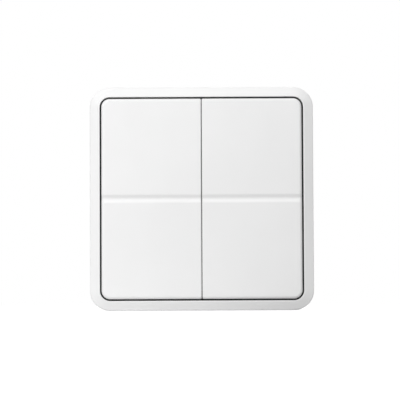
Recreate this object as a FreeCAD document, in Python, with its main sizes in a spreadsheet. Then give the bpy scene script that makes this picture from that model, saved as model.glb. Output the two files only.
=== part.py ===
import FreeCAD, Part
import math
import os

import Sketcher

# Wireless push button: a square frame round two tall rocker keys, on a battery-powered radio switch.
# Millimetres. X runs to the right as seen from the front, +Z up, and the wall is the plane y = 0.
# The front faces -Y, so a depth is a distance from the wall towards the front: y = -depth.
# The origin is the centre of the face that lies on the wall.

SIZES = (
    # the outside
    ("frame_size", 86.0, "side of the square frame"),
    ("frame_corner", 7.7, "radius of the frame's outer corners"),
    ("border_width", 3.8, "from the frame's edge to its opening"),
    ("frame_wall", 1.6, "the frame's outer wall"),
    ("frame_lip", 1.2, "the frame's inner wall, round the opening"),
    ("frame_face", 0.9, "least thickness of the frame's face"),
    ("bevel_run", 3.4, "width of the sloping border"),
    ("bevel_drop", 1.4, "how far the border falls towards its edge"),
    ("bevel_round", 0.5, "rounding where the border meets the side"),
    ("key_proud", 0.4, "how far the keys stand proud of the frame"),
    # the keys
    ("key_gap", 0.65, "between keys and frame"),
    ("middle_gap", 0.3, "between the two keys"),
    ("key_wall", 1.5, "thickness of a key's face"),
    ("skirt_wall", 1.3, "thickness of a key's skirt"),
    ("key_round", 1.1, "rounding of a key's outer edges"),
    ("key_inner_chamfer", 0.3, "chamfer of a key's edge at the middle gap"),
    ("groove_half", 1.5, "half the groove's width, before rounding"),
    ("groove_drop", 0.64, "the groove's depth, before rounding"),
    ("groove_edge_round", 1.2, "rounding at the groove's edges"),
    ("groove_floor_round", 1.5, "rounding at the groove's bottom"),
    ("rib_width", 1.0, "thickness of the ribs under a key"),
    ("rib_height", 0.8, "height of the ribs under a key"),
    ("pusher_width", 1.5, "width of the pushers under a key"),
    ("pusher_length", 1.1, "length of the pushers under a key"),
    # the keys' bearings
    ("tilt_angle", 1.6, "how far a key tilts each way, in degrees"),
    ("stop_gap", 0.12, "left between skirt and deck at full tilt"),
    ("axis_height", 1.2, "from the deck to the tilt axis"),
    ("trunnion_radius", 0.9, "radius of a key's trunnions"),
    ("bearing_gap", 0.04, "running clearance of a trunnion"),
    ("bearing_wall", 1.1, "wall of a bearing round its bore"),
    ("bearing_length", 3.0, "length of a bearing along the axis"),
    ("bearing_mouth", 1.5, "width of the mouth that a trunnion snaps through"),
    ("bearing_lead", 0.35, "chamfer that leads a trunnion into the mouth"),
    ("bearing_play", 0.15, "end play of a trunnion"),
    ("bearing_inset", 6.0, "from a key's side to its bearing"),
    ("bearing_head", 0.25, "between a bearing's top and the key"),
    ("leg_thickness", 1.1, "thickness of a key's legs"),
    ("leg_gap", 0.2, "between a leg's end and the deck"),
    ("leg_half", 1.4, "half the width of a leg"),
    # the carrier
    ("deck_thickness", 1.4, "thickness of the carrier's deck"),
    ("key_room", 2.2, "from the deck to the back of a key's face"),
    ("rim_depth", 0.8, "depth of the carrier's locating rim"),
    ("rim_wall", 1.0, "thickness of the locating rim and the snap arms"),
    ("rim_gap", 0.15, "between the locating rim and the housing"),
    ("arm_length", 3.5, "length of a snap arm"),
    ("arm_width", 5.0, "width of a snap arm"),
    ("arm_bite", 0.5, "how far an arm's barb reaches into the housing wall"),
    ("arm_barb", 1.0, "height of an arm's barb"),
    ("aperture_gap", 0.3, "round a switch in the deck"),
    # the housing
    ("housing_gap", 0.8, "between the housing and the frame's wall"),
    ("housing_wall", 1.6, "thickness of the housing's wall"),
    ("floor_thickness", 1.2, "thickness of the housing's floor"),
    ("window_gap", 0.2, "round a barb in its window"),
    ("nub_drop", 2.0, "from the housing's rim to the frame's nubs"),
    ("nub_height", 1.0, "height of a nub"),
    ("nub_width", 8.0, "width of a nub"),
    ("nub_offset", 22.0, "from the middle of a side to its nubs"),
    ("nub_bite", 0.5, "how far a nub reaches into the housing wall"),
    ("post_radius", 2.5, "radius of the board's posts"),
    ("guide_gap", 0.2, "between the positive clips and the guide ring round the cell"),
    ("guide_wall", 1.0, "wall of the cell's guide ring"),
    ("guide_height", 2.1, "height of the cell's guide ring"),
    ("notch_half", 4.5, "half the width of the finger notch"),
    ("notch_reach", 5.0, "how far the finger notch reaches past the cell"),
    ("notch_corner", 2.0, "corner radius of the finger notch"),
    ("pilot_end", 0.3, "depth of a pilot hole past its screw"),
    # the wall plate and its pad
    ("pad_size", 48.0, "side of the adhesive pad"),
    ("pad_corner", 4.0, "corner radius of the adhesive pad"),
    ("pad_thickness", 0.8, "thickness of the adhesive pad"),
    ("plate_thickness", 1.8, "thickness of the wall plate"),
    ("plate_side_gap", 0.4, "between the wall plate and the frame"),
    ("plate_gap", 0.1, "between the wall plate and the housing"),
    ("screw_offset", 30.0, "from the centre to each screw slot"),
    ("slot_radius", 2.1, "half the width of a screw slot"),
    ("slot_length", 7.0, "length of a screw slot, end to end"),
    ("head_radius", 4.0, "half the width of a slot's recess for the head"),
    ("head_depth", 0.9, "depth of that recess"),
    ("head_room", 0.5, "round the screw heads in the housing's floor"),
    ("hook_offset", 22.0, "height of the hooks above and below the middle"),
    ("hook_inset", 8.0, "from the plate's edge to the outside of a hook's stem"),
    ("hook_stem", 1.2, "thickness of a hook's stem"),
    ("hook_width", 8.0, "width of a hook"),
    ("hook_bite", 0.8, "how far a hook's barb stands out"),
    ("hook_barb", 1.1, "height of a hook's barb"),
    ("catch_gap", 0.15, "between a barb and what it catches"),
    ("pocket_size", 16.0, "side of the plate's weight-saving pockets"),
    ("pocket_web", 8.0, "web between those pockets"),
    ("pocket_depth", 0.8, "depth of those pockets"),
    # the board and what is on it
    ("board_thickness", 1.0, "thickness of the circuit board"),
    ("board_side", 11.6, "from a switch's centre to the board's side"),
    ("board_end", 9.0, "from a switch's centre to the board's top or bottom"),
    ("hole_inset", 3.5, "from the board's edges to its screw holes"),
    ("hole_radius", 1.1, "radius of the board's screw holes"),
    ("deck_gap", 1.0, "between the board and the carrier"),
    ("switch_rise", 20.0, "height of the switches above and below the middle"),
    ("switch_size", 6.2, "side of a switch"),
    ("switch_height", 2.4, "height of a switch's base"),
    ("switch_floor", 0.35, "floor of a switch's base"),
    ("switch_wall", 0.8, "wall of a switch's base"),
    ("cover_thickness", 0.2, "sheet of a switch's cover"),
    ("cover_fold", 1.3, "depth of the cover's folded sides"),
    ("cover_width", 5.4, "width of the cover's folded sides"),
    ("cover_slack", 0.02, "between the cover's folds and the base"),
    ("plunger_size", 3.2, "side of a plunger's square stem"),
    ("plunger_gap", 0.06, "running clearance of a plunger"),
    ("flange_gap", 0.2, "between a plunger's flange and the base"),
    ("flange_height", 0.5, "height of a plunger's flange"),
    ("push_gap", 0.03, "between a pusher and its plunger"),
    ("spring_sheet", 0.12, "sheet of a bowed leaf spring"),
    ("spring_width", 3.0, "width of a leaf spring"),
    ("spring_half", 1.9, "half the length of a leaf spring"),
    ("spring_foot", 0.6, "length of a leaf spring's feet"),
    ("spring_crest", 0.6, "half the length of a leaf spring's flat crest"),
    ("spring_seat", 0.03, "between a spring and its seats"),
    ("lead_width", 0.7, "width of a soldered lead"),
    ("lead_thickness", 0.2, "thickness of a soldered lead"),
    ("lead_reach", 1.2, "how far a lead reaches from its switch"),
    ("lead_rise", 0.6, "height at which a lead leaves its switch"),
    ("lead_offset", 2.25, "from a switch's centre to its leads"),
    ("screw_radius", 1.0, "radius of a board screw's shank"),
    ("screw_length", 3.2, "length of a board screw below its head"),
    ("screw_head", 1.9, "radius of a board screw's head"),
    ("screw_cap", 0.9, "height of a board screw's head"),
    ("pilot_gap", 0.05, "round a board screw in its post"),
    # the battery
    ("cell_radius", 10.0, "radius of the button cell"),
    ("cell_thickness", 3.2, "thickness of the button cell"),
    ("cell_cap", 8.7, "radius of the cell's smaller face"),
    ("cell_step", 0.3, "height of the cell's smaller face"),
    ("cell_drop", 7.0, "from the middle down to the cell's centre"),
    ("cell_gap", 0.6, "between the wall plate and the cell"),
    ("contact_room", 0.5, "between the cell and the board"),
    ("contact_seat", 0.05, "between the cell and what presses on it"),
    ("contact_width", 4.0, "width of the leaf contact"),
    ("contact_sheet", 0.15, "sheet of the leaf contact"),
    ("contact_length", 9.0, "length of the leaf contact"),
    ("contact_foot", 3.0, "length of the leaf contact's foot"),
    ("clip_sheet", 0.25, "sheet of the positive clips"),
    ("clip_width", 6.0, "width of the positive clips"),
    ("clip_gap", 0.3, "between the cell's side and a clip"),
    ("clip_lip", 0.9, "how far a clip's lip reaches inwards"),
    ("clip_foot", 2.6, "length of a clip's foot on the board"),
    # the radio
    ("radio_rise", 17.5, "height of the radio module above the middle"),
    ("radio_width", 18.0, "width of the radio module"),
    ("radio_height", 13.0, "height of the radio module"),
    ("radio_board_thickness", 0.8, "thickness of the module's board"),
    ("castellation_half", 0.4, "half the width and the depth of the notches at the module's sides"),
    ("castellation_pitch", 1.8, "spacing of those notches"),
    ("castellation_count", 6, "notches on each side"),
    ("shield_width", 11.0, "width of the shield can"),
    ("shield_depth", 1.6, "depth of the shield can"),
    ("shield_sheet", 0.2, "sheet of the shield can"),
    ("shield_margin", 0.3, "from the module's lower edge to the can"),
    ("antenna_room", 5.0, "part of the module left free for its antenna"),
    ("crystal_width", 3.2, "width of the crystal"),
    ("crystal_height", 1.6, "height of the crystal"),
    ("crystal_depth", 0.8, "depth of the crystal"),
    ("crystal_offset", 14.0, "from the middle to the crystal and the capacitors"),
    ("chip_width", 1.6, "width of a capacitor"),
    ("chip_height", 0.8, "height of a capacitor"),
    ("chip_depth", 0.8, "depth of a capacitor"),
    ("chip_pitch", 2.2, "spacing of the capacitors"),
    ("chip_count", 4, "capacitors in their row"),
)

doc = FreeCAD.newDocument("push_button")
sheet = doc.addObject("Spreadsheet::Sheet", "sizes")
for row, (alias, number, note) in enumerate(SIZES, start=1):
    sheet.set(f"A{row}", note)
    sheet.set(f"B{row}", str(number))
    sheet.setAlias(f"B{row}", alias)
doc.recompute()

OVERCUT = "1"  # how far a cut runs past the faces that it goes through
SIDES = (-1, 1)

# Depths from the wall, each built on the one behind it
PLATE_BACK = "sizes.pad_thickness"
PLATE_FRONT = f"({PLATE_BACK} + sizes.plate_thickness)"
FLOOR_BACK = f"({PLATE_FRONT} + sizes.plate_gap)"
FLOOR_FRONT = f"({FLOOR_BACK} + sizes.floor_thickness)"
CELL_BACK = f"({PLATE_FRONT} + sizes.cell_gap)"
CELL_FRONT = f"({CELL_BACK} + sizes.cell_thickness)"
BOARD_BACK = f"({CELL_FRONT} + sizes.contact_room)"
BOARD_FRONT = f"({BOARD_BACK} + sizes.board_thickness)"
HOUSING_RIM = f"({BOARD_FRONT} + sizes.deck_gap)"
DECK = f"({HOUSING_RIM} + sizes.deck_thickness)"
AXIS = f"({DECK} + sizes.axis_height)"
KEY_BACK = f"({DECK} + sizes.key_room)"
KEY_FRONT = f"({KEY_BACK} + sizes.key_wall)"
FRAME_FRONT = f"({KEY_FRONT} - sizes.key_proud)"
BASE_TOP = f"({BOARD_FRONT} + sizes.switch_height)"
BASE_FLOOR = f"({BOARD_FRONT} + sizes.switch_floor)"

# Distances from the middle
FRAME_HALF = "(sizes.frame_size / 2)"
OPENING = f"({FRAME_HALF} - sizes.border_width)"
FRAME_INSIDE = f"({FRAME_HALF} - sizes.frame_wall)"
PLATE_HALF = f"({FRAME_INSIDE} - sizes.plate_side_gap)"
HOUSING_HALF = f"({FRAME_INSIDE} - sizes.housing_gap)"
HOUSING_INSIDE = f"({HOUSING_HALF} - sizes.housing_wall)"
RIM_HALF = f"({HOUSING_INSIDE} - sizes.rim_gap)"
KEY_HALF = f"({OPENING} - sizes.key_gap)"
KEY_IN = "(sizes.middle_gap / 2)"
SWITCH_X = f"(({KEY_IN} + {KEY_HALF}) / 2)"
BOARD_HALF_X = f"({SWITCH_X} + sizes.board_side)"
BOARD_HALF_Z = "(sizes.switch_rise + sizes.board_end)"
POST_X = f"({BOARD_HALF_X} - sizes.hole_inset)"
POST_Z = f"({BOARD_HALF_Z} - sizes.hole_inset)"

# Corner radii that keep each wall as thick round the corner as along the side
OPENING_CORNER = "(sizes.frame_corner - sizes.border_width)"
INSIDE_CORNER = "(sizes.frame_corner - sizes.frame_wall)"
PLATE_CORNER = f"({INSIDE_CORNER} - sizes.plate_side_gap)"
HOUSING_CORNER = f"({INSIDE_CORNER} - sizes.housing_gap)"
HOUSING_INNER_CORNER = f"({HOUSING_CORNER} - sizes.housing_wall)"
RIM_CORNER = f"({HOUSING_INNER_CORNER} - sizes.rim_gap)"
KEY_CORNER = f"({OPENING_CORNER} - sizes.key_gap)"

# The motion: what the switches travel, and where a skirt ends so that it just clears the deck at full tilt
TRAVEL = "(sizes.switch_rise * sin(sizes.tilt_angle))"
SKIRT_END = f"({DECK} + {KEY_HALF} * sin(sizes.tilt_angle) + sizes.stop_gap)"
PLUNGER_TOP = f"({KEY_BACK} - sizes.pusher_length - sizes.push_gap)"
FLANGE_FRONT = f"({BASE_TOP} - {TRAVEL} - sizes.plunger_gap)"
FLANGE_BACK = f"({FLANGE_FRONT} - sizes.flange_height)"


def value(expression):
    """The number that an expression over the sheet comes to."""
    return float(sheet.evalExpression(expression))


def minus(expression):
    return f"-({expression})"


def new_body(label):
    body = doc.addObject("PartDesign::Body", label)
    body.Label = label
    return body


def origin_feature(body, role):
    return next(feature for feature in body.Origin.OriginFeatures if feature.Role == role)


def bind(sketch, constraint, expression):
    index = sketch.addConstraint(constraint)
    sketch.setExpression(f"Constraints[{index}]", expression)


def place(sketch, geometry, point, across, up):
    """Ties a point of the sketch to its distances from the sketch's origin."""
    bind(sketch, Sketcher.Constraint("DistanceX", -1, 1, geometry, point, value(across)), across)
    bind(sketch, Sketcher.Constraint("DistanceY", -1, 1, geometry, point, value(up)), up)


def circle(sketch, across, up, radius):
    centre = FreeCAD.Vector(value(across), value(up), 0)
    ring = sketch.addGeometry(Part.Circle(centre, FreeCAD.Vector(0, 0, 1), value(radius)), False)
    place(sketch, ring, 3, across, up)
    bind(sketch, Sketcher.Constraint("Radius", ring, value(radius)), radius)


def rounded_corner(before, corner, after, radius):
    """Where the arc at a corner starts and ends, its centre, and whether the outline turns left there."""
    towards = (corner - before).normalize()
    away = (after - corner).normalize()
    turn = towards.getAngle(away)
    reach = radius * math.tan(turn / 2)
    left = towards.cross(away).z > 0
    inwards = FreeCAD.Vector(-towards.y, towards.x, 0) * (1 if left else -1)
    start = corner - towards * reach
    return start, corner + away * reach, start + inwards * radius, left


def outline(sketch, corners):
    """A closed outline through corners given as (across, up, radius), sharp where the radius is None."""
    count = len(corners)
    points = [FreeCAD.Vector(value(across), value(up), 0) for across, up, _ in corners]
    rounds = {}
    for i, (_, _, radius) in enumerate(corners):
        if radius is not None:
            rounds[i] = rounded_corner(points[i - 1], points[i], points[(i + 1) % count], value(radius))
    starts = [rounds[i][1] if i in rounds else points[i] for i in range(count)]
    ends = [rounds[i][0] if i in rounds else points[i] for i in range(count)]
    lines = [
        sketch.addGeometry(Part.LineSegment(starts[i], ends[(i + 1) % count]), False) for i in range(count)
    ]
    for i, (across, up, radius) in enumerate(corners):
        before, after = lines[i - 1], lines[i]
        if i not in rounds:
            sketch.addConstraint(Sketcher.Constraint("Coincident", before, 2, after, 1))
            place(sketch, after, 1, across, up)
            continue
        start, end, centre, left = rounds[i]
        full = Part.Circle(centre, FreeCAD.Vector(0, 0, 1), value(radius))
        first, last = (start, end) if left else (end, start)
        arc = sketch.addGeometry(Part.ArcOfCircle(full, full.parameter(first), full.parameter(last)), False)
        near, far = (1, 2) if left else (2, 1)
        tip = sketch.addGeometry(Part.Point(points[i]), True)
        place(sketch, tip, 1, across, up)
        sketch.addConstraint(Sketcher.Constraint("PointOnObject", tip, 1, before))
        sketch.addConstraint(Sketcher.Constraint("PointOnObject", tip, 1, after))
        sketch.addConstraint(Sketcher.Constraint("Tangent", before, 2, arc, near))
        sketch.addConstraint(Sketcher.Constraint("Tangent", arc, far, after, 1))
        bind(sketch, Sketcher.Constraint("Radius", arc, value(radius)), radius)


def rectangle(sketch, left, right, bottom, top, radius=None):
    corners = (left, bottom), (right, bottom), (right, top), (left, top)
    outline(sketch, [(*corner, radius) for corner in corners])


def square(sketch, half, radius=None):
    rectangle(sketch, minus(half), half, minus(half), half, radius)


def obround(sketch, across, up, half_length, radius, upright):
    """A slot with round ends, centred on a point, with its length upright or across."""
    middle = FreeCAD.Vector(value(across), value(up), 0)
    run = value(half_length) - value(radius)
    along = FreeCAD.Vector(0, 1, 0) if upright else FreeCAD.Vector(1, 0, 0)
    side = FreeCAD.Vector(-along.y, along.x, 0) * value(radius)
    turn = math.pi / 2 if upright else 0
    arcs = []
    for sign in SIDES:
        full = Part.Circle(middle + along * run * sign, FreeCAD.Vector(0, 0, 1), value(radius))
        start = turn - sign * math.pi / 2
        arcs.append(sketch.addGeometry(Part.ArcOfCircle(full, start, start + math.pi), False))
    far_end, near_end = middle + along * run, middle - along * run
    left = sketch.addGeometry(Part.LineSegment(far_end + side, near_end + side), False)
    right = sketch.addGeometry(Part.LineSegment(near_end - side, far_end - side), False)
    low, high = arcs
    joins = ((high, left), (left, low), (low, right), (right, high))
    for first, second in joins:
        sketch.addConstraint(Sketcher.Constraint("Tangent", first, 2, second, 1))
    for arc, sign in ((low, "-"), (high, "+")):
        offset = f"({half_length} - {radius})"
        if upright:
            place(sketch, arc, 3, across, f"{up} {sign} {offset}")
        else:
            place(sketch, arc, 3, f"{across} {sign} {offset}", up)
    sketch.addConstraint(Sketcher.Constraint("Equal", low, high))
    bind(sketch, Sketcher.Constraint("Radius", low, value(radius)), radius)


def new_sketch(body, plane, level):
    """A sketch at a level of a plane of the body: a depth on XZ_Plane, an x on YZ_Plane, a z on XY_Plane."""
    sketch = body.newObject("Sketcher::SketchObject", body.Label + "_sketch")
    sketch.AttachmentSupport = [(origin_feature(body, plane), "")]
    sketch.MapMode = "FlatFace"
    sketch.setExpression("AttachmentOffset.Base.z", level)
    return sketch


def extrude(kind, body, plane, start, end, *shapes):
    """A Pad or a Pocket from one level of a plane to a higher one. A shape is a function and its sizes."""
    sketch = new_sketch(body, plane, start)
    for draw, *sizes in shapes:
        draw(sketch, *sizes)
    feature = body.newObject("PartDesign::" + kind, f"{body.Label}_{kind.lower()}")
    feature.Profile = sketch
    feature.setExpression("Length", f"{end} - ({start})")
    feature.Reversed = kind == "Pocket"
    return feature


def pad(body, plane, start, end, *shapes):
    return extrude("Pad", body, plane, start, end, *shapes)


def pocket(body, plane, start, end, *shapes):
    return extrude("Pocket", body, plane, start, end, *shapes)


def revolve(body, corners):
    """A turned solid about the Y axis, from corners given as (radius, depth, rounding)."""
    sketch = new_sketch(body, "XY_Plane", "0")
    outline(sketch, [(radius, minus(depth), rounding) for radius, depth, rounding in corners])
    feature = body.newObject("PartDesign::Revolution", body.Label + "_revolution")
    feature.Profile = sketch
    feature.ReferenceAxis = (sketch, ["V_Axis"])
    feature.Angle = 360
    return feature


def turned(body, feature, copies=4):
    """Repeats a feature about the Y axis, as on each side of the square."""
    pattern = body.newObject("PartDesign::PolarPattern", body.Label + "_pattern")
    pattern.Originals = [feature]
    pattern.Axis = (origin_feature(body, "Y_Axis"), [""])
    pattern.Angle = 360
    pattern.Occurrences = copies
    body.Tip = pattern


def edge_names(body, chosen):
    """Names of the body's edges that pass the test, which reads an edge's middle and its end points."""
    doc.recompute()
    names = []
    for index, edge in enumerate(body.Tip.Shape.Edges, start=1):
        middle = edge.valueAt((edge.FirstParameter + edge.LastParameter) / 2)
        if chosen(middle, [vertex.Point for vertex in edge.Vertexes]):
            names.append(f"Edge{index}")
    return names


def dress(kind, body, chosen, **sizes):
    """A Fillet or a Chamfer on the chosen edges, with its sizes bound to expressions."""
    base = body.Tip
    names = edge_names(body, chosen)
    feature = body.newObject("PartDesign::" + kind, f"{body.Label}_{kind.lower()}")
    feature.Base = (base, names)
    for size, expression in sizes.items():
        feature.setExpression(size, expression)
    return feature


def near(first, second, slack=0.001):
    return abs(first - second) < slack


def adhesive_pad():
    body = new_body("adhesive_pad")
    pad(body, "XZ_Plane", "0", PLATE_BACK, (square, "sizes.pad_size / 2", "sizes.pad_corner"))


def screw_slots(half_length, radius):
    """The outlines of the four screw slots: two side by side and two one above the other."""
    beside = [(obround, f"{side} * sizes.screw_offset", "0", half_length, radius, False) for side in SIDES]
    above = [(obround, "0", f"{side} * sizes.screw_offset", half_length, radius, True) for side in SIDES]
    return beside + above


# The hooks that hold the housing on the wall plate, on both sides, above and below the middle
HOOK_OUT = f"({PLATE_HALF} - sizes.hook_inset)"
HOOK_IN = f"({HOOK_OUT} - sizes.hook_stem)"
HOOK_CATCH = f"({FLOOR_FRONT} + sizes.catch_gap)"
HOOK_TIP = f"({HOOK_CATCH} + sizes.hook_barb)"
HEAD_HALF = "(sizes.slot_length / 2 + sizes.head_radius - sizes.slot_radius)"


def hook_span(level, gap="0"):
    """The lower and upper end of the hooks on one level, widened by a gap."""
    middle = f"{level} * sizes.hook_offset"
    reach = f"(sizes.hook_width / 2 + {gap})"
    return f"({middle} - {reach})", f"({middle} + {reach})"


def wall_plate():
    body = new_body("wall_plate")
    behind, ahead = f"{PLATE_BACK} - {OVERCUT}", f"{PLATE_FRONT} + {OVERCUT}"
    pad(body, "XZ_Plane", PLATE_BACK, PLATE_FRONT, (square, PLATE_HALF, PLATE_CORNER))
    pocket(body, "XZ_Plane", behind, ahead, *screw_slots("(sizes.slot_length / 2)", "sizes.slot_radius"))
    recess = f"{PLATE_FRONT} - sizes.head_depth"
    pocket(body, "XZ_Plane", recess, ahead, *screw_slots(HEAD_HALF, "sizes.head_radius"))
    web, far = "sizes.pocket_web / 2", "(sizes.pocket_web / 2 + sizes.pocket_size)"
    across_and_up = [(f"{minus(far)}", minus(web)), (web, far)]
    savings = [
        (rectangle, left, right, bottom, top)
        for left, right in across_and_up
        for bottom, top in across_and_up
    ]
    pocket(body, "XZ_Plane", f"{PLATE_FRONT} - sizes.pocket_depth", ahead, *savings)
    for side in SIDES:
        hook = [
            (HOOK_IN, PLATE_FRONT),
            (HOOK_OUT, PLATE_FRONT),
            (HOOK_OUT, HOOK_CATCH),
            (f"({HOOK_OUT} + sizes.hook_bite)", HOOK_CATCH),
            (HOOK_OUT, HOOK_TIP),
            (HOOK_IN, HOOK_TIP),
        ]
        corners = [(f"{side} * {across}", minus(depth), None) for across, depth in hook]
        for level in SIDES:
            pad(body, "XY_Plane", *hook_span(level), (outline, corners))
        inner, outer = f"{side} * {HOOK_OUT}", f"{side} * ({HOOK_OUT} + sizes.hook_bite)"
        under_barbs = [(rectangle, inner, outer, *hook_span(level)) for level in SIDES]
        pocket(body, "XZ_Plane", behind, ahead, *under_barbs)


# The carrier's snap arms and the frame's nubs, which catch in the housing's wall
ARM_OUT = RIM_HALF
ARM_IN = f"({RIM_HALF} - sizes.rim_wall)"
ARM_END = f"({HOUSING_RIM} - sizes.arm_length)"
ARM_CATCH = f"({ARM_END} + sizes.arm_barb)"
ARM_TIP = f"({HOUSING_INSIDE} + sizes.arm_bite)"
NUB_BACK = f"({HOUSING_RIM} - sizes.nub_drop - sizes.nub_height / 2)"
NUB_FRONT = f"({NUB_BACK} + sizes.nub_height)"
NUB_TIP = f"({HOUSING_HALF} - sizes.nub_bite)"
CELL_UP = "(-sizes.cell_drop)"
CLIP_OUT = "(sizes.cell_radius + sizes.clip_gap + sizes.clip_sheet)"
CLIP_REACH = f"sqrt({CLIP_OUT} * {CLIP_OUT} + sizes.clip_width * sizes.clip_width / 4)"
GUIDE_INSIDE = f"({CLIP_REACH} + sizes.guide_gap)"


def nub_span(level, gap="0"):
    middle = f"{level} * sizes.nub_offset"
    reach = f"(sizes.nub_width / 2 + {gap})"
    return f"({middle} - {reach})", f"({middle} + {reach})"


def board_corners(radius, rises=(1,)):
    """Circles at corners of the board: at the two screws, where the diagonal rises, or at all four posts."""
    places = [(f"{side} * {POST_X}", f"{rise * side} * {POST_Z}") for rise in rises for side in SIDES]
    return [(circle, across, up, radius) for across, up in places]


def rear_housing():
    body = new_body("rear_housing")
    behind, guide_end = f"{FLOOR_BACK} - {OVERCUT}", f"{FLOOR_FRONT} + sizes.guide_height"
    pad(body, "XZ_Plane", FLOOR_BACK, HOUSING_RIM, (square, HOUSING_HALF, HOUSING_CORNER))
    inside = (square, HOUSING_INSIDE, HOUSING_INNER_CORNER)
    pocket(body, "XZ_Plane", FLOOR_FRONT, f"{HOUSING_RIM} + {OVERCUT}", inside)
    pad(body, "XZ_Plane", FLOOR_FRONT, BOARD_BACK, *board_corners("sizes.post_radius", rises=SIDES))
    pilot_end = f"{BOARD_FRONT} - sizes.screw_length - sizes.pilot_end"
    pilots = board_corners("(sizes.screw_radius + sizes.pilot_gap)")
    pocket(body, "XZ_Plane", pilot_end, f"{BOARD_BACK} + {OVERCUT}", *pilots)
    guide = (circle, "0", CELL_UP, f"({GUIDE_INSIDE} + sizes.guide_wall)")
    pad(body, "XZ_Plane", FLOOR_FRONT, guide_end, guide)
    pocket(body, "XZ_Plane", behind, f"{guide_end} + {OVERCUT}", (circle, "0", CELL_UP, GUIDE_INSIDE))
    notch_end = f"({CELL_UP} - sizes.cell_radius - sizes.notch_reach)"
    notch = (rectangle, "-sizes.notch_half", "sizes.notch_half", notch_end, CELL_UP, "sizes.notch_corner")
    pocket(body, "XZ_Plane", behind, f"{guide_end} + {OVERCUT}", notch)
    long, short = f"({HEAD_HALF} + sizes.head_room)", "(sizes.head_radius + sizes.head_room)"
    heads = []
    for side in SIDES:
        middle = f"{side} * sizes.screw_offset"
        heads.append((rectangle, f"{middle} - {long}", f"{middle} + {long}", minus(short), short))
        heads.append((rectangle, minus(short), short, f"{middle} - {long}", f"{middle} + {long}"))
    pocket(body, "XZ_Plane", behind, f"{FLOOR_FRONT} + {OVERCUT}", *heads)
    for side in SIDES:
        inner = f"{side} * ({HOOK_IN} - sizes.hook_bite - sizes.window_gap)"
        outer = f"{side} * ({HOOK_OUT} + sizes.window_gap)"
        windows = [(rectangle, inner, outer, *hook_span(level, "sizes.window_gap")) for level in SIDES]
        pocket(body, "XZ_Plane", behind, f"{FLOOR_FRONT} + {OVERCUT}", *windows)
    outside = f"{HOUSING_HALF} + {OVERCUT}"
    arm_half = "(sizes.arm_width / 2 + sizes.window_gap)"
    arm_window = (
        rectangle,
        minus(f"{ARM_CATCH} + sizes.window_gap"),
        minus(f"{ARM_END} - sizes.window_gap"),
        minus(arm_half),
        arm_half,
    )
    turned(body, pocket(body, "YZ_Plane", f"{HOUSING_INSIDE} - sizes.window_gap", outside, arm_window))
    recesses = [
        (
            rectangle,
            minus(f"{NUB_FRONT} + sizes.window_gap"),
            minus(f"{NUB_BACK} - sizes.window_gap"),
            *nub_span(level, "sizes.window_gap"),
        )
        for level in SIDES
    ]
    turned(body, pocket(body, "YZ_Plane", f"{NUB_TIP} - sizes.window_gap", outside, *recesses))


# The keys' bearings on the carrier
POST_TOP = f"({KEY_BACK} - sizes.bearing_head)"
BEARING_HALF = "(sizes.trunnion_radius + sizes.bearing_gap + sizes.bearing_wall)"
BEARINGS = (f"({KEY_IN} + sizes.bearing_inset)", f"({KEY_HALF} - sizes.bearing_inset)")


def key_carrier():
    body = new_body("key_carrier")
    pad(body, "XZ_Plane", HOUSING_RIM, DECK, (square, HOUSING_HALF, HOUSING_CORNER))
    rim = (square, RIM_HALF, RIM_CORNER), (square, ARM_IN, f"({RIM_CORNER} - sizes.rim_wall)")
    pad(body, "XZ_Plane", f"{HOUSING_RIM} - sizes.rim_depth", HOUSING_RIM, *rim)
    arm = [
        (ARM_IN, HOUSING_RIM),
        (ARM_OUT, HOUSING_RIM),
        (ARM_OUT, ARM_CATCH),
        (ARM_TIP, ARM_CATCH),
        (ARM_OUT, ARM_END),
        (ARM_IN, ARM_END),
    ]
    corners = [(across, minus(depth), None) for across, depth in arm]
    turned(body, pad(body, "XY_Plane", "-sizes.arm_width / 2", "sizes.arm_width / 2", (outline, corners)))
    reach = "(sizes.switch_size / 2 + sizes.cover_thickness + sizes.aperture_gap)"
    apertures = [
        (
            rectangle,
            f"{side} * {SWITCH_X} - {reach}",
            f"{side} * {SWITCH_X} + {reach}",
            f"{level} * sizes.switch_rise - {reach}",
            f"{level} * sizes.switch_rise + {reach}",
        )
        for side in SIDES
        for level in SIDES
    ]
    pocket(body, "XZ_Plane", f"{HOUSING_RIM} - {OVERCUT}", f"{DECK} + {OVERCUT}", *apertures)
    posts = [
        (
            rectangle,
            f"{side} * {across} - sizes.bearing_length / 2",
            f"{side} * {across} + sizes.bearing_length / 2",
            minus(BEARING_HALF),
            BEARING_HALF,
        )
        for side in SIDES
        for across in BEARINGS
    ]
    pad(body, "XZ_Plane", DECK, POST_TOP, *posts)
    bore = (circle, minus(AXIS), "0", "(sizes.trunnion_radius + sizes.bearing_gap)")
    pocket(body, "YZ_Plane", minus(KEY_HALF), KEY_HALF, bore)
    half_mouth, lead = "sizes.bearing_mouth / 2", f"({POST_TOP} - sizes.bearing_lead)"
    widest = f"({half_mouth} + sizes.bearing_lead + {OVERCUT})"
    mouth = [
        (minus(AXIS), minus(half_mouth), None),
        (minus(AXIS), half_mouth, None),
        (minus(lead), half_mouth, None),
        (minus(f"{POST_TOP} + {OVERCUT}"), widest, None),
        (minus(f"{POST_TOP} + {OVERCUT}"), minus(widest), None),
        (minus(lead), minus(half_mouth), None),
    ]
    pocket(body, "YZ_Plane", minus(KEY_HALF), KEY_HALF, (outline, mouth))


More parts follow.
